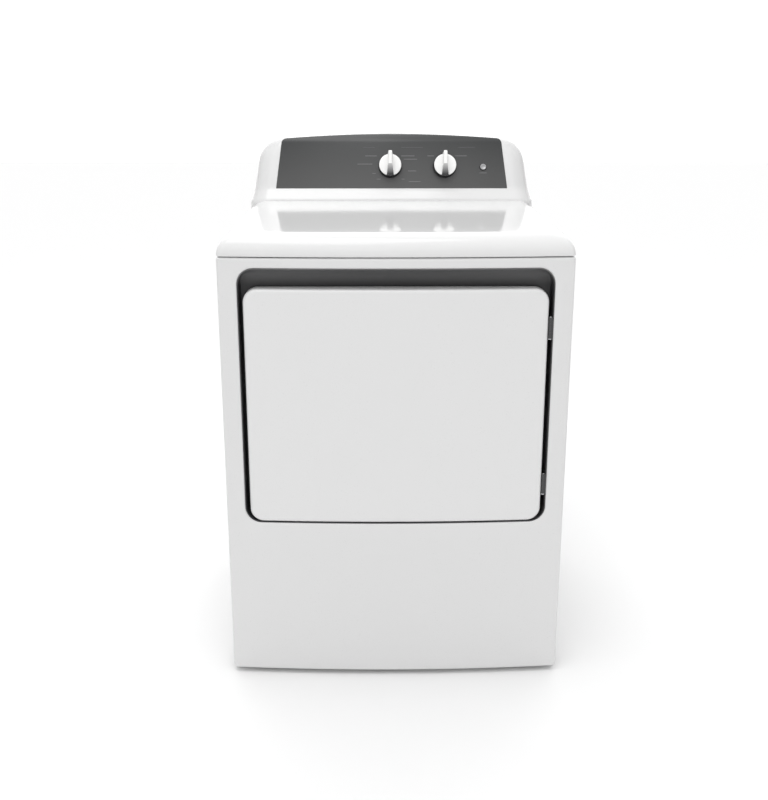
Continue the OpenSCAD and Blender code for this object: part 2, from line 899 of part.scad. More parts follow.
// Right half of the front view of the console, shrunk by t.
function console_half(t) =
    let (top = console_top - t)
    concat(
        [[hw - t, seam_z], [hw - t, worktop_z], [hw - 7 - t, worktop_z + 20]],
        [[hw - 13 - t, worktop_z + 59]],
        arc_points([shoulder_x, console_top - top_fall - shoulder_r], shoulder_r - t, 10, 87, 10),
        [for (i = [5:-1:1]) let (s = i / 6) [shoulder_x * s, top - top_fall * s * s]],
        [[0, top]]
    );

module console_block(t, x0, x1) {
    intersection() {
        translate([x0, 0, 0]) rotate([90, 0, 90]) linear_extrude(x1 - x0) {
            polygon(console_profile(t));
        }
        stand(front_y, rear_y + 10) polygon(concat(console_half(t), mirrored(console_half(t))));
    }
}

// Holes for the knob stems and the start button, through everything behind the fascia.
module control_holes() {
    for (x = knob_xs) {
        on_fascia(x, knob_v) translate([0, 0, -20]) cylinder(r = stem_r + 1, h = 30);
    }
    on_fascia(button_x, button_v) translate([0, 0, -20]) cylinder(r = button_r + 0.3, h = 30);
}

module console_housing() {
    color("white") difference() {
        union() {
            difference() {
                console_block(0, -cap_x, cap_x);
                translate([0, 1, 0]) console_block(console_t, -cap_x + 2, cap_x - 2);
                on_fascia(0, 0) translate([0, 0, -fascia_t]) linear_extrude(fascia_t + 5) fascia_shape();
            }
            on_fascia(0, 0) translate([-cap_x + 3, 4, -fascia_t - 2.5]) {
                cube([2 * cap_x - 6, 112, 2.3]);
            }
        }
        control_holes();
        worktop_cut();
    }
}

// The space up to the top of the worktop.
module worktop_cut() {
    box([-hw - 1, front_y, 0], [hw + 1, rear_y + 1, worktop_z]);
}

// Fascia outline on its own plane: a trapezium with round upper corners and a bowed top.
module fascia_shape() {
    half_bottom = 278.5;
    half_top = 266;
    top_v = 123.5;
    top_rise = 10;
    corner = 13;
    right = concat(
        [[half_bottom, 0]],
        arc_points([half_top - corner, top_v - corner], corner, 10, 88, 6),
        [for (i = [5:-1:1]) let (s = i / 6) [(half_top - corner) * s, top_v + top_rise * (1 - s * s)]],
        [[0, top_v + top_rise]]
    );
    polygon(concat(right, mirrored(right)));
}

module control_fascia() {
    color("dimgray") difference() {
        on_fascia(0, 0) translate([0, 0, -fascia_t]) linear_extrude(fascia_t) fascia_shape();
        control_holes();
    }
}

// End of the console, which reaches down over the worktop's round edge.
module end_cap(side) {
    x0 = side > 0 ? cap_x : -hw;
    x1 = side > 0 ? hw : -cap_x;
    color("white") difference() {
        console_block(0, x0, x1);
        intersection() {
            console_block(3, x0 - 1, x1 + 1);
            box([-hw, front_y, 0], [hw, rear_y - 3, console_top]);
        }
        worktop_block(0);
    }
}

module end_cap_left() {
    end_cap(-1);
}

module end_cap_right() {
    end_cap(1);
}

module console_rear_cover() {
    color("silver") difference() {
        box([-cap_x + 2.5, rear_y - 1.2, worktop_z + 0.2], [cap_x - 2.5, rear_y, console_top - 24]);
        for (i = [-4:4]) {
            stand(rear_y - 5, rear_y + 5) {
                translate([i * 40, worktop_z + 95]) round_rect(26, 5, 2.4);
            }
        }
    }
}

// Round knob with a straight grip across it and a stem that goes through the fascia.
module knob() {
    translate([0, 0, 1]) {
        cylinder(r = knob_r, h = knob_face);
        intersection() {
            translate([-5, -knob_r, 0]) cube([10, 2 * knob_r, grip_h]);
            cylinder(r = knob_r - 0.5, h = grip_h);
        }
        translate([0, 0, -16]) cylinder(r = stem_r, h = 17);
    }
}

module timer_knob() {
    color("white") on_fascia(knob_xs[0], knob_v) knob();
}

module temperature_knob() {
    color("white") on_fascia(knob_xs[1], knob_v) knob();
}

module start_button() {
    color("silver") on_fascia(button_x, button_v) {
        translate([0, 0, -7]) cylinder(r = button_r, h = 11);
    }
}

// Control body behind the fascia, with a bore for the knob's stem.
module control_body(x, w, depth) {
    on_fascia(x, knob_v) difference() {
        translate([-w / 2, -w / 2, -5.2 - depth]) cube([w, w, depth]);
        translate([0, 0, -30]) cylinder(r = stem_r + 0.06, h = 30);
    }
}

module timer() {
    color("ivory") control_body(knob_xs[0], 62, 28);
}

module temperature_switch() {
    color("ivory") control_body(knob_xs[1], 42, 22);
}

// Switch behind the start button, with room for the button's travel.
module start_switch() {
    color("black") on_fascia(button_x, button_v) {
        translate([-13, -13, -8 - button_travel - 18]) cube([26, 26, 18]);
    }
}

side_panel_left();
side_panel_right();
front_panel();
rear_panel();
rear_access_cover();
base_pan();
worktop();
door_recess();
front_bulkhead();
rear_bulkhead();
leg_front_left();
leg_front_right();
leg_rear_left();
leg_rear_right();
leg_nuts();
console_housing();
end_cap_left();
end_cap_right();
control_fascia();
console_rear_cover();
timer_knob();
temperature_knob();
start_button();
timer();
temperature_switch();
start_switch();
door_outer_panel();
door_inner_panel();
door_seal();
hinge_frame_leaves();
hinge_door_leaves();
hinge_pins();
door_strike();
door_catch();
door_switch();
door_switch_plunger();
drum_shell();
drum_baffles();
drum_back();
drum_shaft();
rear_bearing();
bearing_slides();
front_felt();
rear_felt();
heater_housing();
heater_coil();
drive_belt();
motor();
motor_shaft();
motor_mount();
idler_arm();
idler_pulley();
idler_spring();
blower_housing();
blower_wheel();
lint_duct();
lint_screen();
exhaust_duct();
terminal_block();
rear_screws();
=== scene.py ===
import json
import math

import bmesh
import bpy
from mathutils import Matrix, Vector


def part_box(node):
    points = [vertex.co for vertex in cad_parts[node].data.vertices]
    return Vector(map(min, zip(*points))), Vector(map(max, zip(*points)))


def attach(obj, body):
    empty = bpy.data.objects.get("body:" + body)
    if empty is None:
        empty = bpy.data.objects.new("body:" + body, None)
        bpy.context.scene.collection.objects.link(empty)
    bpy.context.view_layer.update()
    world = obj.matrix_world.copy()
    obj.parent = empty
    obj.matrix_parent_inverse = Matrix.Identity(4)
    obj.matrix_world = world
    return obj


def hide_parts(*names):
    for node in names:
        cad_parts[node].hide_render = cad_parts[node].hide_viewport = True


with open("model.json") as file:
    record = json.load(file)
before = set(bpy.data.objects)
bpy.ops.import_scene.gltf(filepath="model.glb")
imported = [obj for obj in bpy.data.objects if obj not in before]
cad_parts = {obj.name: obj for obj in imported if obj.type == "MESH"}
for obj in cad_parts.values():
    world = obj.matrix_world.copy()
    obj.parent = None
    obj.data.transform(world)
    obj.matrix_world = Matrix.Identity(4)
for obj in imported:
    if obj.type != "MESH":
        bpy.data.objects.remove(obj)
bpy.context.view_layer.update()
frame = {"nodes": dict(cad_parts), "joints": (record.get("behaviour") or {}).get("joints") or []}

MM = 0.001

# ---- Places and sizes, from the frame ----

front_low, front_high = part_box("front_panel")
top_low, top_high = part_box("worktop")
recess_low, recess_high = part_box("door_recess")
door_low, door_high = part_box("door_outer_panel")
fascia_low, fascia_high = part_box("control_fascia")
housing_low, housing_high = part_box("console_housing")
rear_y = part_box("rear_panel")[1].y
joints = {joint["name"]: joint for joint in frame["joints"]}

half_w = front_high.x
front_y = front_high.y - 25 * MM
bow = front_y - front_low.y
bow_r = (half_w**2 + bow**2) / (2 * bow)
bow_axis_y = front_y - bow + bow_r
seam_z = top_low.z
worktop_z = top_high.z
edge_r = worktop_z - seam_z


def bow_y(x):
    """Depth position of the bowed front at x."""
    return bow_axis_y - math.sqrt(bow_r**2 - x * x)


# ---- Materials ----


def mix_colour(tree, factor, first, second):
    """Node that mixes two colours by a factor socket."""
    node = tree.nodes.new("ShaderNodeMix")
    node.data_type = "RGBA"
    node.inputs["A"].default_value = (*first, 1)
    node.inputs["B"].default_value = (*second, 1)
    tree.links.new(factor, node.inputs["Factor"])
    return node.outputs["Result"]


def noise(tree, scale, detail=3.0, stretch=(1, 1, 1), rough=0.5):
    """Noise in object space, stretched along the axes."""
    coords = tree.nodes.new("ShaderNodeTexCoord")
    mapping = tree.nodes.new("ShaderNodeMapping")
    mapping.inputs["Scale"].default_value = stretch
    texture = tree.nodes.new("ShaderNodeTexNoise")
    texture.inputs["Scale"].default_value = scale
    texture.inputs["Detail"].default_value = detail
    texture.inputs["Roughness"].default_value = rough
    tree.links.new(coords.outputs["Object"], mapping.inputs["Vector"])
    tree.links.new(mapping.outputs["Vector"], texture.inputs["Vector"])
    return texture.outputs["Fac"]


def remap(tree, value, low, high, from_low=0.2, from_high=0.8):
    """Maps a noise value to a range."""
    node = tree.nodes.new("ShaderNodeMapRange")
    node.inputs["From Min"].default_value = from_low
    node.inputs["From Max"].default_value = from_high
    node.inputs["To Min"].default_value = low
    node.inputs["To Max"].default_value = high
    tree.links.new(value, node.inputs["Value"])
    return node.outputs["Result"]


def bump(tree, shader, height, distance, strength=1.0):
    """Bump from a height socket, into the shader's normal."""
    node = tree.nodes.new("ShaderNodeBump")
    node.inputs["Strength"].default_value = strength
    node.inputs["Distance"].default_value = distance
    tree.links.new(height, node.inputs["Height"])
    tree.links.new(node.outputs["Normal"], shader.inputs["Normal"])


def surface(name, colour, rough, metallic=0.0, coat=0.0, vary=0.03, grain=300.0, depth=0.00002,
            stretch=(1, 1, 1), smudge=6.0, sheen=0.0, ior=1.5):
    """Procedural finish: colour and gloss vary slowly, and a fine grain gives the bump."""
    material = bpy.data.materials.new(name)
    material.use_nodes = True
    tree = material.node_tree
    shader = tree.nodes["Principled BSDF"]
    shader.inputs["Metallic"].default_value = metallic
    shader.inputs["IOR"].default_value = ior
    shader.inputs["Coat Weight"].default_value = coat
    shader.inputs["Coat Roughness"].default_value = 0.06
    shader.inputs["Sheen Weight"].default_value = sheen
    darker = [c * (1 - vary) for c in colour]
    lighter = [min(1.0, c * (1 + vary)) for c in colour]
    slow = noise(tree, smudge, 1.5, stretch)
    tree.links.new(mix_colour(tree, slow, darker, lighter), shader.inputs["Base Color"])
    tree.links.new(remap(tree, slow, rough * 0.85, rough * 1.2), shader.inputs["Roughness"])
    bump(tree, shader, noise(tree, grain, 2.0, stretch), depth)
    return material


def brushed(name, colour, rough, stretch):
    """Sheet steel with rolling marks along one axis and a faint spangle."""
    material = surface(name, colour, rough, metallic=1.0, vary=0.08, grain=260.0, depth=0.00001,
                       stretch=stretch, smudge=14.0)
    tree = material.node_tree
    shader = tree.nodes["Principled BSDF"]
    spangle = tree.nodes.new("ShaderNodeTexVoronoi")
    spangle.inputs["Scale"].default_value = 90.0
    coords = tree.nodes.new("ShaderNodeTexCoord")
    tree.links.new(coords.outputs["Object"], spangle.inputs["Vector"])
    darker = [c * 0.9 for c in colour]
    tint = mix_colour(tree, remap(tree, spangle.outputs["Color"], 0, 1, 0.2, 0.9), darker, colour)
    tree.links.new(tint, shader.inputs["Base Color"])
    return material


def felt(name, colour):
    """Needled felt: short tangled fibres, matt, with a soft sheen."""
    return surface(name, colour, 0.95, vary=0.16, grain=900.0, depth=0.0006, smudge=220.0, sheen=0.4)


def plastic_with_painted_shading(name, low_z, high_z, low_colour, high_colour, rough, coat):
    """Gloss panel whose grey goes from one value at its lower edge to another at its top, as painted light
    and shade.
    """
    material = surface(name, low_colour, rough, coat=coat, vary=0.01, grain=700.0, depth=0.000002)
    tree = material.node_tree
    shader = tree.nodes["Principled BSDF"]
    coords = tree.nodes.new("ShaderNodeTexCoord")
    split = tree.nodes.new("ShaderNodeSeparateXYZ")
    tree.links.new(coords.outputs["Object"], split.inputs["Vector"])
    # painted shading: the grey changes with height
    share = remap(tree, split.outputs["Z"], 0, 1, low_z, high_z)
    tree.links.new(mix_colour(tree, share, low_colour, high_colour), shader.inputs["Base Color"])
    return material


enamel = surface("white_enamel", (0.73, 0.73, 0.73), 0.3, coat=0.1, vary=0.004, grain=420.0, depth=0.000012,
                 smudge=400.0)
top_enamel = surface("worktop_enamel", (0.74, 0.74, 0.74), 0.1, vary=0.006, grain=260.0,
                     depth=0.000004, smudge=400.0, ior=1.4)
door_enamel = surface("door_enamel", (0.75, 0.75, 0.75), 0.3, coat=0.1, vary=0.004, grain=420.0,
                      depth=0.000012, smudge=400.0)
console_white = surface("console_white", (0.72, 0.72, 0.72), 0.16, coat=0.2, vary=0.01, grain=700.0,
                        depth=0.000008)
knob_white = surface("knob_white", (0.88, 0.88, 0.87), 0.24, coat=0.3, vary=0.01, grain=900.0,
                     depth=0.00001)
# Near-black plastic for the start ring; on the knobs it is painted shade on their sides under the white
# faces.
dark_plastic_and_painted_shade = surface("dark_plastic_and_painted_shade", (0.012, 0.012, 0.013), 0.4, vary=0.1, grain=900.0, depth=0.00001)
chrome = surface("satin_chrome", (0.34, 0.34, 0.345), 0.3, metallic=1.0, vary=0.04, grain=800.0,
                 depth=0.000004)
print_grey = surface("print_grey", (0.2, 0.2, 0.205), 0.5, vary=0.05, grain=900.0, depth=0.00001)
faint_grey = surface("faint_grey", (0.085, 0.085, 0.09), 0.5, vary=0.05, grain=900.0, depth=0.00001)
hinge_dark = surface("hinge_dark", (0.05, 0.05, 0.052), 0.4, vary=0.1, grain=600.0, depth=0.00002)
galvanized = brushed("galvanized", (0.6, 0.62, 0.64), 0.36, (1, 1, 0.1))
drum_steel = brushed("drum_steel", (0.66, 0.67, 0.68), 0.28, (1, 0.05, 1))
zinc = surface("zinc_plate", (0.62, 0.62, 0.64), 0.28, metallic=1.0, vary=0.06, grain=500.0,
               depth=0.00001)
spring_wire = surface("drawn_wire", (0.35, 0.34, 0.34), 0.35, metallic=1.0, vary=0.1, grain=700.0,
                      depth=0.00001)
moulded_white = surface("moulded_white", (0.74, 0.74, 0.72), 0.42, vary=0.02, grain=650.0, depth=0.00004)
moulded_black = surface("moulded_black", (0.02, 0.02, 0.02), 0.45, vary=0.15, grain=650.0, depth=0.00005)
foot_rubber = surface("foot_rubber", (0.03, 0.03, 0.03), 0.75, vary=0.2, grain=350.0, depth=0.0001)
seal_rubber = surface("seal_rubber", (0.16, 0.16, 0.17), 0.6, vary=0.1, grain=500.0, depth=0.00005)
belt_rubber = surface("belt_rubber", (0.015, 0.015, 0.015), 0.6, vary=0.2, grain=450.0, depth=0.00008)
motor_paint = surface("motor_paint", (0.05, 0.05, 0.055), 0.4, vary=0.1, grain=500.0, depth=0.00003)
ceramic = surface("ceramic", (0.75, 0.73, 0.68), 0.5, vary=0.03, grain=500.0, depth=0.00003)
seal_felt = felt("seal_felt", (0.62, 0.57, 0.47))
# Fascia grey painted lighter at its foot than at its top: a painted reflection on the leaning gloss panel.
fascia_painted_reflection = plastic_with_painted_shading("fascia_painted_reflection", fascia_low.z, fascia_high.z, (0.092, 0.092, 0.092),
                               (0.026, 0.028, 0.029), 0.32, 0.0)
# Recess in its own dark grey, painted lighter over its top 30 mm: painted light near the mouth.
dark_recess_painted_light = plastic_with_painted_shading("dark_recess_painted_light", recess_high.z - 38 * MM, recess_high.z - 8 * MM,
                               (0.043, 0.043, 0.045), (0.17, 0.17, 0.172), 0.38, 0.0)
knob_z = joints["timer_turn"]["pos_m"][2]
# Grip slope painted near black at its foot and light grey at its top: painted shade on the down-facing
# slope.
grip_painted_shade = plastic_with_painted_shading("grip_painted_shade", knob_z - 14 * MM, knob_z + 8 * MM, (0.04, 0.04, 0.042),
                             (0.5, 0.5, 0.5), 0.2, 0.0)

node_materials = {
    "rear_panel": galvanized, "rear_access_cover": galvanized, "base_pan": galvanized,
    "side_panel_left": enamel, "side_panel_right": enamel, "front_bulkhead": galvanized,
    "rear_bulkhead": galvanized, "leg_nuts": zinc, "console_rear_cover": galvanized,
    "door_recess": dark_recess_painted_light, "door_inner_panel": moulded_white, "hinge_frame_leaves": hinge_dark,
    "hinge_door_leaves": hinge_dark, "hinge_pins": zinc, "door_strike": zinc, "door_catch": moulded_black,
    "door_switch": moulded_black, "door_switch_plunger": moulded_white, "drum_shell": drum_steel,
    "drum_baffles": moulded_white, "drum_back": drum_steel, "drum_shaft": zinc,
    "rear_bearing": moulded_black, "bearing_slides": moulded_white, "heater_housing": galvanized,
    "drive_belt": belt_rubber, "motor": motor_paint, "motor_shaft": zinc, "motor_mount": galvanized,
    "idler_arm": zinc, "idler_pulley": moulded_white, "idler_spring": spring_wire,
    "blower_housing": moulded_white, "blower_wheel": moulded_white, "lint_duct": moulded_white,
    "lint_screen": moulded_white, "exhaust_duct": galvanized, "terminal_block": moulded_black,
    "rear_screws": zinc, "timer": moulded_white, "temperature_switch": moulded_white,
    "start_switch": moulded_black, "leg_front_left": foot_rubber, "leg_front_right": foot_rubber,
    "leg_rear_left": foot_rubber, "leg_rear_right": foot_rubber, "door_seal": seal_rubber,
    "front_felt": seal_felt, "rear_felt": seal_felt, "heater_coil": spring_wire,
    "worktop": top_enamel, "front_panel": enamel, "door_outer_panel": door_enamel,
    "console_housing": console_white, "end_cap_left": console_white, "end_cap_right": console_white,
    "control_fascia": fascia_painted_reflection, "timer_knob": knob_white, "temperature_knob": knob_white,
    "start_button": chrome,
}
for node_name, node_object in frame["nodes"].items():
    node_object.data.materials.clear()
    node_object.data.materials.append(node_materials[node_name])


# ---- Mesh helpers ----


def piece(name, verts, faces, material, body, replaces=(), sharp=40.0):
    """Makes a shaded mesh object that rides on a body and may stand for CAD nodes."""
    mesh = bpy.data.meshes.new(name)
    mesh.from_pydata([tuple(v) for v in verts], [], faces)
    clean = bmesh.new()
    clean.from_mesh(mesh)
    bmesh.ops.remove_doubles(clean, verts=clean.verts, dist=0.000005)
    bmesh.ops.recalc_face_normals(clean, faces=clean.faces)
    for edge in clean.edges:
        edge.smooth = len(edge.link_faces) == 2 and edge.calc_face_angle() < math.radians(sharp)
    for face in clean.faces:
        face.smooth = True
    clean.to_mesh(mesh)
    clean.free()
    mesh.materials.append(material)
    made = bpy.data.objects.new(name, mesh)
    bpy.context.scene.collection.objects.link(made)
    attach(made, body)
    if replaces:
        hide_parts(*replaces)
    return made


def loft(loops, closed=True, cap_start=False, cap_end=False):
    """Joins loops with the same number of points into one skin."""
    count = len(loops[0])
    verts = [point for loop in loops for point in loop]
    faces = []
    last = count if closed else count - 1
    for row in range(len(loops) - 1):
        for i in range(last):
            j = (i + 1) % count
            a = row * count
            faces.append((a + i, a + j, a + count + j, a + count + i))
    if cap_start:
        faces.append(tuple(range(count - 1, -1, -1)))
    if cap_end:
        faces.append(tuple(range(len(verts) - count, len(verts))))
    return verts, faces


def lathe(profile, steps, place, cap_end=True):
    """Turns (radius, height) points about the local Z axis and places them."""
    ring = [2 * math.pi * i / steps for i in range(steps)]
    loops = []
    for radius, height in profile:
        loops.append([place @ Vector((radius * math.cos(a), radius * math.sin(a), height)) for a in ring])
    return loft(loops, cap_end=cap_end)


def lathe_open(profile, steps, place):
    """Turns (radius, height) points about the local Z axis, without closing the ends."""
    return lathe(profile, steps, place, cap_end=False)


def merge(*parts):
    """Puts several (verts, faces) lists together."""
    verts = []
    faces = []
    for part_verts, part_faces in parts:
        start = len(verts)
        verts += list(part_verts)
        faces += [tuple(start + i for i in face) for face in part_faces]
    return verts, faces


def round_outline(width, height, centre_z, radii, corner_steps=10, side_steps=12):
    """Rectangle with round corners in X and Z: points as (x, z, normal x, normal z).
    radii are those of the upper right, upper left, lower left and lower right corners."""
    signs = [(1, 1), (-1, 1), (-1, -1), (1, -1)]
    corners = []
    for number, (sx, sz) in enumerate(signs):
        r = radii[number]
        cx = sx * (width / 2 - r)
        cz = centre_z + sz * (height / 2 - r)
        arc = []
        for i in range(corner_steps + 1):
            a = math.pi / 2 * (number + i / corner_steps)
            arc.append((cx + r * math.cos(a), cz + r * math.sin(a), math.cos(a), math.sin(a)))
        corners.append(arc)
    outline = []
    for number, arc in enumerate(corners):
        outline += arc
        start = arc[-1]
        end = corners[(number + 1) % 4][0]
        for i in range(1, side_steps):
            t = i / side_steps
            outline.append(tuple(start[k] * (1 - t) + end[k] * t for k in range(4)))
    return outline


def edge_loop(outline, offset, depth=0.0, y=None):
    """Loop that follows an outline on the bowed front, moved out by offset and back by depth."""
    loop = []
    for x, z, nx, nz in outline:
        px = x + nx * offset
        pz = z + nz * offset
        loop.append(Vector((px, bow_y(px) + depth if y is None else y, pz)))
    return loop


def roll(radius, inward, steps=6):
    """Offsets and depths of an edge that rolls from the face to the side."""
    pairs = []
    for i in range(steps + 1):
        a = math.pi / 2 * i / steps
        pairs.append((inward * radius * (1 - math.sin(a)), radius * (1 - math.cos(a))))
    return pairs


def between(first, second, steps):
    """Loops on the bowed face between two loops, without the two."""
    loops = []
    for i in range(1, steps):
        t = i / steps
        loop = []
        for p, q in zip(first, second):
            x = p.x * (1 - t) + q.x * t
            z = p.z * (1 - t) + q.z * t
            loop.append(Vector((x, bow_y(x), z)))
        loops.append(loop)
    return loops


# ---- Front panel ----


def front_skin():
    """Bowed front panel with rolled edges, side returns and a rolled rim round the recess."""
    edge = 4.5 * MM
    rim = 3.5 * MM
    seam_gap = 1.2 * MM
    low_z = front_low.z
    high_z = seam_z - seam_gap
    outer = round_outline(2 * half_w, high_z - low_z, (low_z + high_z) / 2,
                          (4 * MM, 4 * MM, 9 * MM, 9 * MM), 8, 24)
    well_w = recess_high.x - recess_low.x + 0.4 * MM
    well_h = recess_high.z - recess_low.z + 0.4 * MM
    well_z = (recess_high.z + recess_low.z) / 2
    inner = round_outline(well_w, well_h, well_z, (32 * MM,) * 4, 8, 24)
    loops = [edge_loop(outer, 0, 24 * MM)]
    loops += [edge_loop(outer, offset, depth) for offset, depth in reversed(roll(edge, -1))]
    face_end = edge_loop(inner, rim)
    loops += between(loops[-1], face_end, 14)
    loops += [edge_loop(inner, offset, depth) for offset, depth in roll(rim, 1)]
    loops.append(edge_loop(inner, 0, 7 * MM))
    verts, faces = loft(loops)
    piece("front_skin", verts, faces, enamel, "cabinet", ["front_panel"])


def recess_fillet():
    """Round inside corner between the recess's walls and its floor, widest along the top."""
    wall = 1.5 * MM
    floor_y = recess_high.y - 1.2 * MM
    width = recess_high.x - recess_low.x - 2 * wall
    height = recess_high.z - recess_low.z - 2 * wall
    outline = round_outline(width, height, (recess_high.z + recess_low.z) / 2, (30.3 * MM,) * 4, 12, 24)
    loops = []
    for i in range(11):
        a = math.pi / 2 * i / 10
        loop = []
        for x, z, nx, nz in outline:
            r = 4 * MM + 17 * MM * max(0.0, nz) ** 3
            inward = r * (1 - math.cos(a)) + 0.05 * MM
            loop.append(Vector((x - nx * inward, floor_y - r * (1 - math.sin(a)), z - nz * inward)))
        loops.append(loop)
    verts, faces = loft(loops)
    # the fillet carries the recess grey with its painted light near the top
    piece("recess_fillet", verts, faces, dark_recess_painted_light, "cabinet")


# ---- Door ----


def door_skin():
    """Bowed door panel with softly rolled edges that turn in behind."""
    edge = 6 * MM
    width = door_high.x - door_low.x
    height = door_high.z - door_low.z
    centre_z = (door_high.z + door_low.z) / 2
    outline = round_outline(width, height, centre_z, (27 * MM,) * 4, 12, 24)
    back = door_high.y
    loops = [edge_loop(outline, -14 * MM, y=back), edge_loop(outline, -1.5 * MM, y=back)]
    loops += [edge_loop(outline, 0, y=back - 1.5 * MM)]
    loops += [edge_loop(outline, offset, depth) for offset, depth in reversed(roll(edge, -1, 8))]
    rim = loops[-1]
    for share in (0.97, 0.9, 0.8, 0.7, 0.6, 0.5, 0.4, 0.3, 0.2, 0.1, 0.03):
        loop = []
        for p in rim:
            x = p.x * share
            loop.append(Vector((x, bow_y(x), centre_z + (p.z - centre_z) * share)))
        loops.append(loop)
    verts, faces = loft(loops, cap_end=True)
    piece("door_skin", verts, faces, door_enamel, "door", ["door_outer_panel"])


# ---- Worktop ----


def worktop_path(inset, corner_r, corner_steps=14, front_steps=40, side_steps=12):
    """Open outline of the worktop from the rear left corner round the front to the rear right."""
    outer_r = bow_r - inset
    centre_x = half_w - inset - corner_r
    centre_y = bow_axis_y - math.sqrt((outer_r - corner_r) ** 2 - centre_x**2)
    tilt = math.asin(centre_x / (outer_r - corner_r))
    points = []
    for i in range(side_steps):
        t = i / side_steps
        points.append((-half_w + inset, rear_y * (1 - t) + centre_y * t))
    turn = math.pi / 2 - tilt
    for i in range(corner_steps + 1):
        a = math.pi + turn * i / corner_steps
        points.append((-centre_x + corner_r * math.cos(a), centre_y + corner_r * math.sin(a)))
    for i in range(1, front_steps):
        a = -tilt + 2 * tilt * i / front_steps
        points.append((outer_r * math.sin(a), bow_axis_y - outer_r * math.cos(a)))
    mirror = [(-x, y) for x, y in reversed(points[: side_steps + corner_steps + 1])]
    return points + mirror


def worktop_loop(inset, rise):
    """Outline of the worktop at a height; its corners grow rounder towards the top."""
    corner_r = 9 * MM + 0.55 * max(0.0, inset)
    return [Vector((x, y, seam_z + rise)) for x, y in worktop_path(inset, corner_r)]


def worktop_skin():
    """Pressed worktop with quarter-round edges, soft front corners and a turned-under lip."""
    lip = 2 * MM
    levels = [(30 * MM, 1 * MM), (lip, 0.6 * MM), (0.5 * MM, 1.1 * MM), (0, lip + 0.5 * MM)]
    steps = 18
    for i in range(1, steps + 1):
        a = math.pi / 2 * i / steps
        levels.append((edge_r * (1 - math.cos(a)), lip + (edge_r - lip) * math.sin(a)))
    loops = [worktop_loop(inset, rise) for inset, rise in levels]
    verts, faces = loft(loops, cap_end=True)
    piece("worktop_skin", verts, faces, top_enamel, "cabinet", ["worktop"])


# ---- Console ----

lean = math.radians(21)
fascia_base = Vector((0, fascia_low.y, fascia_low.z))
console_base_y = housing_low.y
console_top = housing_high.z


def lean_y(z):
    """Front of the console at height z."""
    if z < fascia_base.z:
        share = (z - worktop_z) / (fascia_base.z - worktop_z)
        return console_base_y + (fascia_base.y - console_base_y) * max(0.0, share)
    return fascia_base.y + (z - fascia_base.z) * math.tan(lean)


def console_levels():
    """Heights of the console with their half widths, from the seam to the top ridge."""
    shoulder_r = 64 * MM
    shoulder_x = 261 * MM
    top_fall = 10 * MM
    shoulder_z = console_top - top_fall - shoulder_r
    start = math.radians(8)
    levels = [(seam_z + 2.5 * MM, half_w - 0.4 * MM), (seam_z + 3.2 * MM, half_w)]
    levels += [(worktop_z - 12 * MM, half_w), (worktop_z - 4 * MM, half_w - 0.4 * MM)]
    side_z = shoulder_z + shoulder_r * math.sin(start)
    side_x = shoulder_x + shoulder_r * math.cos(start)
    for i in range(14):
        t = i / 14
        z = worktop_z + (side_z - worktop_z) * t
        flare = 2.5 * MM * (1 - min(1.0, t * 2.6)) ** 2
        levels.append((z, side_x + 12 * MM * (1 - t) + flare))
    for i in range(15):
        a = start + (math.radians(88) - start) * i / 14
        levels.append((shoulder_z + shoulder_r * math.sin(a), shoulder_x + shoulder_r * math.cos(a)))
    for i in range(1, 10):
        width = shoulder_x * (1 - i / 10)
        levels.append((console_top - top_fall * (width / shoulder_x) ** 2, width))
    return levels


def console_loop(z, width, steps=12):
    """Half of the plan outline at a height: from the middle of the front to the rear side."""
    corner = min(46 * MM, width * 0.9, rear_y - lean_y(z) - 2 * MM)
    front = lean_y(z)
    points = []
    for i in range(steps):
        points.append(Vector(((width - corner) * i / steps, front, z)))
    for i in range(steps + 1):
        a = math.pi / 2 * i / steps
        x = width - corner + corner * math.sin(a)
        y = front + corner * (1 - math.cos(a))
        points.append(Vector((x, y, z)))
    points.append(Vector((width, rear_y, z)))
    return points


def console_skin():
    """White console shell in one smooth form, for the housing and its two end caps."""
    half = [console_loop(z, width) for z, width in console_levels()]
    whole = [[Vector((-p.x, p.y, p.z)) for p in reversed(loop[1:])] + loop for loop in half]
    verts, faces = loft(whole, closed=False)
    count = len(whole[0])
    faces.append(tuple(range(len(verts) - count, len(verts))))
    piece("console_shell", verts, faces, console_white, "cabinet",
          ["console_housing", "end_cap_left", "end_cap_right"])


def console_back():
    """Rim inside the console's open back, which the rear cover is fixed to."""
    right = [(width - 0.5 * MM, z) for z, width in console_levels() if z > worktop_z - 1 * MM]
    right.insert(0, (right[0][0], worktop_z - 20 * MM))
    outline = right + [(-x, z) for x, z in reversed(right)]
    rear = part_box("console_rear_cover")[0].y - 0.3 * MM
    loops = []
    for amount, y in ((1, rear - 2 * MM), (1, rear), (42, rear), (42, rear - 2 * MM)):
        loops.append([Vector((x, y, z)) for x, z in shrink(outline, amount * MM)[1:-1]])
    loops.append(loops[0])
    verts, faces = loft(loops, closed=False)
    piece("console_rim", verts, faces, console_white, "cabinet")


def on_fascia(x, v, w=0.0):
    """Point on the leaning fascia: x across, v up the face, w out of it."""
    y = fascia_base.y + v * math.sin(lean) - w * math.cos(lean)
    z = fascia_base.z + v * math.cos(lean) + w * math.sin(lean)
    return Vector((x, y, z))


def fascia_frame(x, v, w=0.0):
    """Matrix of the fascia's plane at a point: local X across, Y up the face, Z out of it."""
    turn = Matrix.Rotation(math.pi / 2 - lean, 4, "X")
    return Matrix.Translation(on_fascia(x, v, w)) @ turn


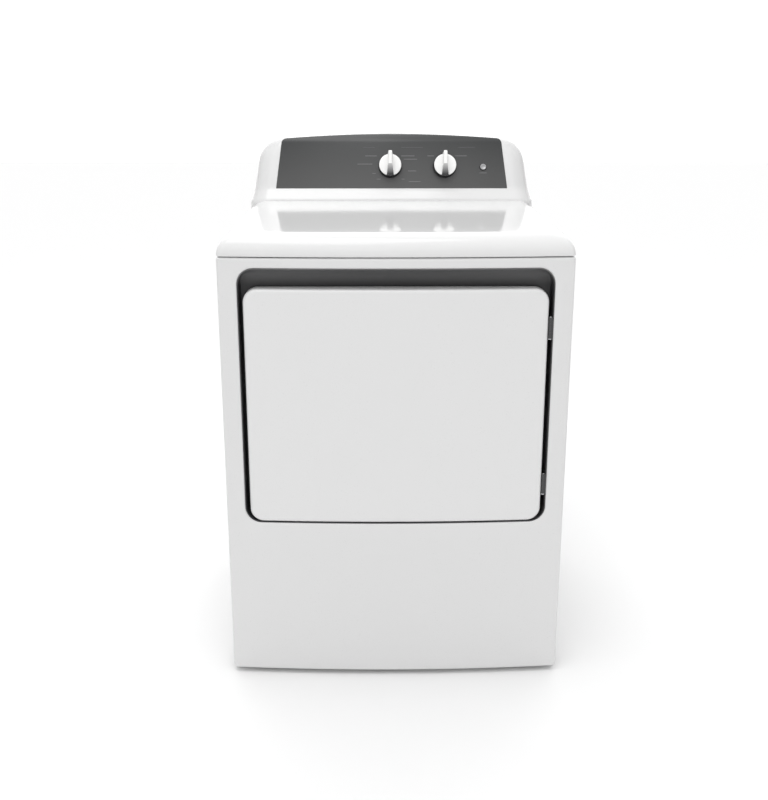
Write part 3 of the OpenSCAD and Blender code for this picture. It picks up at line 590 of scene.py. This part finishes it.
def fascia_outline():
    """Outline of the fascia: leaning sides, round upper corners and a bowed top."""
    half_bottom = 278.5 * MM
    half_top = 266 * MM
    corner = 13 * MM
    top_v = 123.5 * MM
    rise = 10 * MM
    right = [(half_bottom, 0.0)]
    for i in range(9):
        a = math.radians(8 + 80 * i / 8)
        right.append((half_top - corner + corner * math.cos(a), top_v - corner + corner * math.sin(a)))
    for i in range(1, 16):
        s = 1 - i / 16
        right.append(((half_top - corner) * s, top_v + rise * (1 - s * s)))
    left = [(-x, v) for x, v in reversed(right)]
    return right + [(0.0, top_v + rise)] + left


def shrink(outline, amount):
    """Moves an outline's points towards its inside by about amount."""
    moved = []
    count = len(outline)
    for i, (x, v) in enumerate(outline):
        before = outline[i - 1]
        after = outline[(i + 1) % count]
        along = Vector((after[0] - before[0], after[1] - before[1]))
        normal = Vector((-along.y, along.x)).normalized()
        moved.append((x + normal.x * amount, v + normal.y * amount))
    return moved


def fascia():
    """Gloss control panel, slightly proud of the shell, with a fine step along its edge."""
    outline = fascia_outline()
    proud = 1.0 * MM
    rows = [(0, -1.5 * MM), (0, proud - 0.5 * MM), (0.15 * MM, proud - 0.15 * MM), (0.5 * MM, proud)]
    loops = []
    for amount, height in rows:
        loops.append([on_fascia(x, v, height) for x, v in shrink(outline, amount)])
    verts, faces = loft(loops, cap_end=True)
    # the panel carries the painted reflection gradient
    piece("fascia_panel", verts, faces, fascia_painted_reflection, "cabinet", ["control_fascia"])


def plane_v(point):
    """How far up the fascia's plane a point on it lies."""
    return (point[2] - fascia_base.z) / math.cos(lean)


def dash(x, v, length, width=1.1 * MM):
    """Small flat mark on the fascia as verts and faces."""
    place = fascia_frame(x, v, 1.02 * MM)
    corners = [(-length / 2, -width / 2), (length / 2, -width / 2),
               (length / 2, width / 2), (-length / 2, width / 2)]
    top = [place @ Vector((x, y, 0.05 * MM)) for x, y in corners]
    bottom = [place @ Vector((x, y, -0.1 * MM)) for x, y in corners]
    return loft([bottom, top], cap_end=True)


def printed_marks():
    """Generic dashes round the knobs and under the start button, without any lettering."""
    knob_v = plane_v(joints["timer_turn"]["pos_m"])
    timer_x = joints["timer_turn"]["pos_m"][0]
    heat_x = joints["temperature_turn"]["pos_m"][0]
    button_x = (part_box("start_button")[0].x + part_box("start_button")[1].x) / 2
    strong = [(timer_x, -46, 26, 28), (timer_x, -61, 6, 36), (timer_x, -39, -17, 8), (timer_x, -28, -31, 9),
              (timer_x, 31, -31, 7), (timer_x, 53, -11, 20), (timer_x, 59, -37, 28), (timer_x, 43, 26, 32),
              (timer_x, 49, 18, 32), (heat_x, -34, 26, 16), (heat_x, 39, 26, 28), (button_x, 0, -16, 17)]
    faint = [(timer_x, -51, 47, 28), (timer_x, 53, 47, 52), (heat_x, 53, 47, 40), (heat_x, -8, 39, 5)]
    for name, group, material in (("marks", strong, print_grey), ("faint_marks", faint, faint_grey)):
        marks = [dash(x + dx * MM, knob_v + dv * MM, length * MM) for x, dx, dv, length in group]
        verts, faces = merge(*marks)
        piece(name, verts, faces, material, "cabinet")


def knob(name, node, joint, body):
    """Round knob whose near-black side is painted shade under its white face, with a tall grip across it.
    """
    place = fascia_frame(joint["pos_m"][0], plane_v(joint["pos_m"]))
    radius = 27.5 * MM
    face = 17 * MM
    skirt = radius + 0.8 * MM
    rim = radius - 1 * MM
    side = [(skirt - 2.5 * MM, 1.1 * MM), (skirt - 1 * MM, 1.2 * MM), (skirt, 2 * MM),
            (rim + 0.3 * MM, face - 2 * MM), (rim - 1 * MM, face - 1.2 * MM)]
    cap = [(rim - 2 * MM, face - 1.4 * MM), (rim - 0.3 * MM, face - 1.3 * MM), (rim, face - 0.9 * MM),
           (rim - 0.5 * MM, face - 0.4 * MM), (rim - 2 * MM, face), (12 * MM, face - 0.4 * MM),
           (1 * MM, face - 0.5 * MM)]
    verts, faces = lathe(side, 96, place)
    # near-black side: painted shade under the face
    piece(name + "_side", verts, faces, dark_plastic_and_painted_shade, body)
    verts, faces = lathe(cap, 96, place)
    piece(name + "_cap", verts, faces, knob_white, body, [node])
    grip(name, place, radius, face, body)


def grip_section(place, v, crest, base, wide):
    """Cross-section of the grip: a bar with a rounded crest and a small fillet at its foot."""
    shape = [(-1.3, 0), (-1.08, 0.1), (-1, 0.3), (-0.98, 0.9), (-0.9, 0.97), (-0.66, 1), (0, 1.008),
             (0.66, 1), (0.9, 0.97), (0.98, 0.9), (1, 0.3), (1.08, 0.1), (1.3, 0)]
    return [place @ Vector((dx * wide, v, base + (crest - base) * dz)) for dx, dz in shape]


def grip(name, place, radius, face, body):
    """Grip whose white upper half stands tall and whose lower half slopes to the face, coloured with
    painted shade that darkens towards its foot.
    """
    base = face - 0.6 * MM
    high = 35 * MM
    half = radius - 0.5 * MM
    tip = radius + 2.5 * MM
    wide = 4.7 * MM
    upper = []
    for i in range(13):
        t = i / 12
        end = 1.6 * MM * (1 - min(1.0, t * 9)) ** 2
        v = tip - (tip + 0.08 * half) * t
        upper.append(grip_section(place, v, high - end, base, wide - end * 0.5))
    lower = []
    for i in range(15):
        t = i / 14
        crest = base + (high - 0.5 * MM - base) * (1 - 0.93 * t ** 1.5)
        lower.append(grip_section(place, -half * (0.08 + 0.9 * t), crest, base, wide * (1 + 0.8 * t * t)))
    # the slope piece is coloured with painted shade
    for part, loops, material, slot in ((name + "_grip", upper, knob_white, "knob_white"),
                                        (name + "_grip_slope", lower, grip_painted_shade, "black_plastic")):
        verts, faces = loft(loops, closed=False, cap_start=True, cap_end=True)
        piece(part, verts, faces, material, body, sharp=50)


def start_key():
    """Dished satin button in a slim ring."""
    low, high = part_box("start_button")
    radius = (high.x - low.x) / 2
    place = fascia_frame((low.x + high.x) / 2, 52 * MM)
    dome = [(radius, -4 * MM), (radius, 3.2 * MM), (radius - 0.4 * MM, 3.8 * MM),
            (radius - 1.6 * MM, 4 * MM), (radius - 3 * MM, 3.6 * MM),
            (2.5 * MM, 3.2 * MM), (0.4 * MM, 3.1 * MM)]
    verts, faces = lathe(dome, 64, place)
    piece("start_cap", verts, faces, chrome, "start_key", ["start_button"])
    ring = [(radius + 0.3 * MM, 0.6 * MM), (radius + 0.35 * MM, 1.5 * MM), (radius + 0.8 * MM, 1.9 * MM),
            (radius + 1.3 * MM, 1.7 * MM), (radius + 1.6 * MM, 0.9 * MM)]
    verts, faces = lathe_open(ring, 64, place)
    piece("start_ring", verts, faces, dark_plastic_and_painted_shade, "cabinet")


# ---- Drum, heater, door seal and legs ----


def along_y(x, z):
    """Matrix whose local Z axis runs along +Y through (x, z)."""
    return Matrix.Translation((x, 0, z)) @ Matrix.Rotation(-math.pi / 2, 4, "X")


def drum_skin():
    """Drum with a rolled front lip, pressed stiffening beads and a folded rear edge."""
    low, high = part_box("drum_shell")
    radius = (high.x - low.x) / 2
    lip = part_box("front_felt")[1].x + 0.4 * MM
    wall = 1.2 * MM
    front = low.y
    back = high.y
    profile = [(lip + wall, front + 20 * MM), (lip, front + 20 * MM), (lip, front + 4 * MM)]
    for i in range(7):
        a = math.pi / 2 * i / 6
        profile.append((lip + 4 * MM * (1 - math.cos(a)), front + 4 * MM * (1 - math.sin(a))))
    for i in range(7):
        a = math.pi / 2 * i / 6
        profile.append((radius - 5 * MM + 5 * MM * math.sin(a), front + 5 * MM * (1 - math.cos(a))))
    beads = [0.16, 0.3, 0.62, 0.76, 0.9]
    for share in beads:
        middle = front + (back - front) * share
        for i in range(9):
            a = math.pi * i / 8
            profile.append((radius - 1.6 * MM * math.sin(a), middle - 7 * MM * math.cos(a)))
    profile += [(radius, back - 0.5 * MM), (radius - 0.5 * MM, back), (radius - wall, back)]
    for share in reversed(beads):
        middle = front + (back - front) * share
        for i in range(9):
            a = math.pi * i / 8
            profile.append((radius - wall - 1.6 * MM * math.sin(a), middle + 7 * MM * math.cos(a)))
    profile += [(radius - wall, front + 6 * MM), (radius - 5 * MM, front + wall)]
    profile += [(lip + wall, front + wall), profile[0]]
    verts, faces = lathe_open(profile, 144, along_y(0, (low.z + high.z) / 2))
    piece("drum_skin", verts, faces, drum_steel, "drum", ["drum_shell"], sharp=50)


def heater():
    """Coiled resistance wire in two rings, with ceramic posts between pairs of radial braces."""
    low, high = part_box("heater_coil")
    centre_z = (low.z + high.z) / 2
    y = (low.y + high.y) / 2
    rings = ((125 * MM, 62), (165 * MM, 82))
    wire = [helix(radius, turns, y, centre_z) for radius, turns in rings]
    verts, faces = merge(*wire)
    piece("heater_wire", verts, faces, spring_wire, "cabinet", ["heater_coil"])
    posts = []
    for i in range(6):
        turn = Matrix.Translation((0, y, centre_z)) @ Matrix.Rotation(-math.pi / 3 * i, 4, "Y")
        for radius in (108 * MM, 142 * MM, 174 * MM):
            posts.append(post(turn @ Matrix.Translation((0, 0, radius + 4 * MM))))
        posts.append(brace(turn, 106 * MM, 184 * MM, -8 * MM))
        posts.append(brace(turn, 106 * MM, 184 * MM, 8 * MM))
    verts, faces = merge(*posts)
    piece("heater_posts", verts, faces, ceramic, "cabinet")


def helix(radius, turns, y, z, coil_r=5.2 * MM, wire_r=0.75 * MM):
    """Coil of wire that runs round a ring about the Y axis."""
    steps = turns * 12
    loops = []
    for i in range(steps + 1):
        a = 2 * math.pi * i / steps
        b = turns * a
        out = Vector((math.cos(a), 0, math.sin(a)))
        along = Vector((-math.sin(a), 0, math.cos(a)))
        side = out * math.cos(b) + Vector((0, math.sin(b), 0))
        centre = Vector((0, y, z)) + out * radius + side * coil_r
        loops.append([centre + (side * math.cos(c) + along * math.sin(c)) * wire_r
                      for c in (0, math.pi / 2, math.pi, 3 * math.pi / 2)])
    return loft(loops)


def post(place):
    """Waisted ceramic post between the two braces, with its axis along Y."""
    profile = [(0.5 * MM, -8 * MM), (4 * MM, -8 * MM), (4.4 * MM, -7 * MM), (4.4 * MM, -5.5 * MM),
               (3.4 * MM, -4.4 * MM), (3.4 * MM, 4.4 * MM), (4.4 * MM, 5.5 * MM), (4.4 * MM, 7 * MM),
               (4 * MM, 8 * MM), (0.5 * MM, 8 * MM)]
    return lathe_open(profile, 20, place @ Matrix.Rotation(-math.pi / 2, 4, "X"))


def brace(place, inner, outer, y):
    """Thin rounded bar of mica that points out from the drum's axis."""
    loops = []
    for z in (inner, inner + 1.5 * MM, outer - 1.5 * MM, outer):
        half = 3.6 * MM if z in (inner, outer) else 5 * MM
        loops.append([place @ Vector((dx * half, y + dy, z))
                      for dx, dy in ((-1, -1 * MM), (1, -1 * MM), (1, 1 * MM), (-1, 1 * MM))])
    return loft(loops, cap_start=True, cap_end=True)


def seal():
    """Soft lip seal of the door: a foot on the door and a rounded bead that meets the recess."""
    low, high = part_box("door_seal")
    outer = (high.x - low.x) / 2
    width = 10 * MM
    depth = high.y - low.y
    middle = outer - width / 2
    profile = [(middle - 4 * MM, 0), (middle - 4.6 * MM, 0.6 * MM), (middle - 3 * MM, 1.6 * MM)]
    for i in range(13):
        a = math.pi * (1 - i / 12)
        profile.append((middle + 3.2 * MM * math.cos(a), depth - 3 * MM + 3 * MM * math.sin(a)))
    profile += [(middle + 3 * MM, 1.6 * MM), (middle + 4.6 * MM, 0.6 * MM), (middle + 4 * MM, 0)]
    profile.append(profile[0])
    place = Matrix.Translation((0, low.y, 0)) @ along_y(0, (low.z + high.z) / 2)
    verts, faces = lathe_open(profile, 128, place)
    piece("seal_lip", verts, faces, seal_rubber, "door", ["door_seal"], sharp=60)


def foot(name):
    """Levelling leg: rubber pad with a ribbed rim, hexagon and threaded stud."""
    low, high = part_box(name)
    centre = (low + high) / 2
    place = Matrix.Translation((centre.x, centre.y, 0))
    pad_r = (high.x - low.x) / 2
    pad = [(0.5 * MM, 0), (pad_r - 3 * MM, 0), (pad_r - 0.8 * MM, 0.8 * MM), (pad_r, 2 * MM)]
    for i in range(3):
        z = (2.6 + 1.4 * i) * MM
        pad += [(pad_r - 0.6 * MM, z), (pad_r, z + 0.7 * MM)]
    pad += [(pad_r - 1 * MM, 7.4 * MM), (pad_r - 3 * MM, 8 * MM), (0.5 * MM, 8 * MM)]
    verts, faces = lathe_open(pad, 64, place)
    piece(name + "_pad", verts, faces, foot_rubber, name, [name])
    nut = [(0.5 * MM, 8 * MM), (8.4 * MM, 8 * MM), (9 * MM, 8.6 * MM), (9 * MM, 11.4 * MM),
           (8.4 * MM, 12 * MM), (0.5 * MM, 12 * MM)]
    thread = [(4.4 * MM, 12 * MM)]
    z = 12.5 * MM
    while z < high.z - 1.5 * MM:
        thread += [(4.9 * MM, z), (4.3 * MM, z + 0.6 * MM)]
        z += 1.2 * MM
    thread += [(4 * MM, high.z - 0.8 * MM), (3.4 * MM, high.z), (0.5 * MM, high.z)]
    verts, faces = merge(lathe_open(nut, 6, place), lathe_open(thread, 32, place))
    piece(name + "_stud", verts, faces, zinc, name, sharp=30)


# ---- Stage ----


def stage():
    """Plain pale floor, and soft light that is brighter above and behind than at the sides."""
    floor_mesh = bpy.data.meshes.new("floor")
    size = 14.0
    floor_mesh.from_pydata([(-size, -size, 0), (size, -size, 0), (size, size, 0), (-size, size, 0)], [],
                           [(0, 1, 2, 3)])
    floor = bpy.data.objects.new("floor", floor_mesh)
    bpy.context.scene.collection.objects.link(floor)
    pale = surface("pale_floor", (0.88, 0.88, 0.88), 0.9, vary=0.004, grain=40.0, depth=0.00001)
    floor_mesh.materials.append(pale)
    world = bpy.data.worlds.new("studio")
    world.use_nodes = True
    tree = world.node_tree
    coords = tree.nodes.new("ShaderNodeTexCoord")
    split = tree.nodes.new("ShaderNodeSeparateXYZ")
    total = tree.nodes.new("ShaderNodeMath")
    tree.links.new(coords.outputs["Generated"], split.inputs["Vector"])
    tree.links.new(remap(tree, split.outputs["Z"], 0.58, 1.25, 0.0, 0.85), total.inputs[0])
    tree.links.new(remap(tree, split.outputs["Y"], 0.22, 0.8, 0.35, 0.9), total.inputs[1])
    aside = tree.nodes.new("ShaderNodeMath")
    aside.operation = "ABSOLUTE"
    tree.links.new(split.outputs["X"], aside.inputs[0])
    darkened = tree.nodes.new("ShaderNodeMath")
    darkened.operation = "MULTIPLY"
    tree.links.new(total.outputs["Value"], darkened.inputs[0])
    tree.links.new(remap(tree, aside.outputs["Value"], 1.0, 0.36, 0.38, 0.72), darkened.inputs[1])
    tree.links.new(darkened.outputs["Value"], tree.nodes["Background"].inputs["Strength"])
    tree.nodes["Background"].inputs["Color"].default_value = (1, 1, 1, 1)
    bpy.context.scene.world = world
    lamp("overhead", (-0.5, -0.6, 3.4), (0, 0.1, 0.9), 1.6, 22)


def lamp(name, place, target, size, power):
    """Square area light that faces a point."""
    light = bpy.data.lights.new(name, "AREA")
    light.shape = "SQUARE"
    light.size = size
    light.energy = power
    lamp_object = bpy.data.objects.new(name, light)
    lamp_object.location = place
    direction = Vector(target) - Vector(place)
    lamp_object.rotation_euler = direction.to_track_quat("-Z", "Y").to_euler()
    bpy.context.scene.collection.objects.link(lamp_object)


def camera():
    """Camera in front of the machine, above its worktop and looking slightly down."""
    distance = 2.0146
    height = 1.206
    aside = -0.0388
    look_down = 0.2941
    turn = -0.0078
    data = bpy.data.cameras.new("camera")
    data.sensor_width = 36.0
    data.lens = 47.92
    made = bpy.data.objects.new("camera", data)
    made.location = (aside, front_y - distance, front_low.z + height)
    made.rotation_euler = (math.pi / 2 - look_down, 0.0001, turn)
    bpy.context.scene.collection.objects.link(made)
    bpy.context.scene.camera = made


camera()
front_skin()
recess_fillet()
door_skin()
worktop_skin()
console_skin()
console_back()
fascia()
printed_marks()
knob("timer", "timer_knob", joints["timer_turn"], "timer_dial")
knob("temperature", "temperature_knob", joints["temperature_turn"], "temperature_dial")
start_key()
drum_skin()
heater()
seal()
for leg_name in ("leg_front_left", "leg_front_right", "leg_rear_left", "leg_rear_right"):
    foot(leg_name)
stage()
bpy.context.scene.view_settings.view_transform = "Standard"
